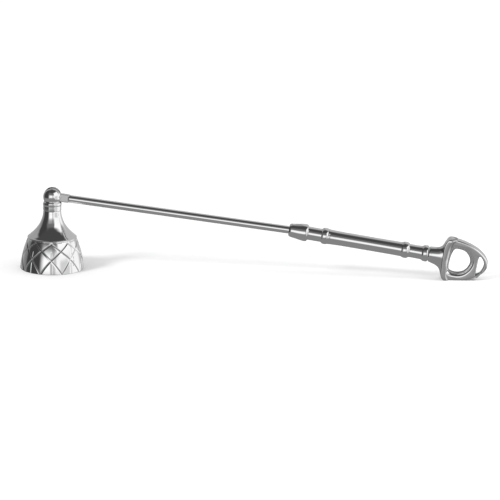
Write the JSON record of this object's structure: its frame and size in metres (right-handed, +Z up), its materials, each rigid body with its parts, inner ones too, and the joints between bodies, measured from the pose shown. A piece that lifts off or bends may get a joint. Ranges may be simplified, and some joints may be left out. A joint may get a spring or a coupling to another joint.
{
  "type": "candle snuffer",
  "caption": "Candle snuffer: an engraved bell hinged on a ball knuckle to a long rod with a bamboo-look grip and a stirrup-shaped end.",
  "frame": {"origin": "on the surface it stands on, under the middle of the whole length, in the plane of symmetry", "axes": "+X from the bell to the stirrup, +Y parallel to the hinge pin, +Z up, with the bell standing mouth down"},
  "size_m": [0.2954, 0.0402, 0.0518],
  "materials": {
    "bell_plate": "bright nickel plate, mirror polished, engraved",
    "knuckle_plate": "bright nickel plate, mirror polished",
    "rod_plate": "bright nickel plate on drawn rod",
    "handle_plate": "bright nickel plate on a polished casting",
    "fastener_steel": "zinc-plated steel, turned"
  },
  "bodies": {
    "bell": {"bell_shell": "bell_plate", "fork_knuckle": "knuckle_plate", "fork_washer": "fastener_steel", "fork_nut": "fastener_steel", "pivot_pin": "knuckle_plate"},
    "handle": {"rod_eye": "rod_plate", "rod": "rod_plate", "handle_ferrule": "handle_plate", "handle_grip": "handle_plate", "stirrup": "handle_plate", "stirrup_stud": "fastener_steel"}
  },
  "joints": [
    {"name": "bell_swing", "type": "hinge", "parent": "handle", "child": "bell", "pos_m": [-0.12757, 0, 0.0463], "axis": [0, 1, 0], "range_deg": [-14, 208]}
  ]
}
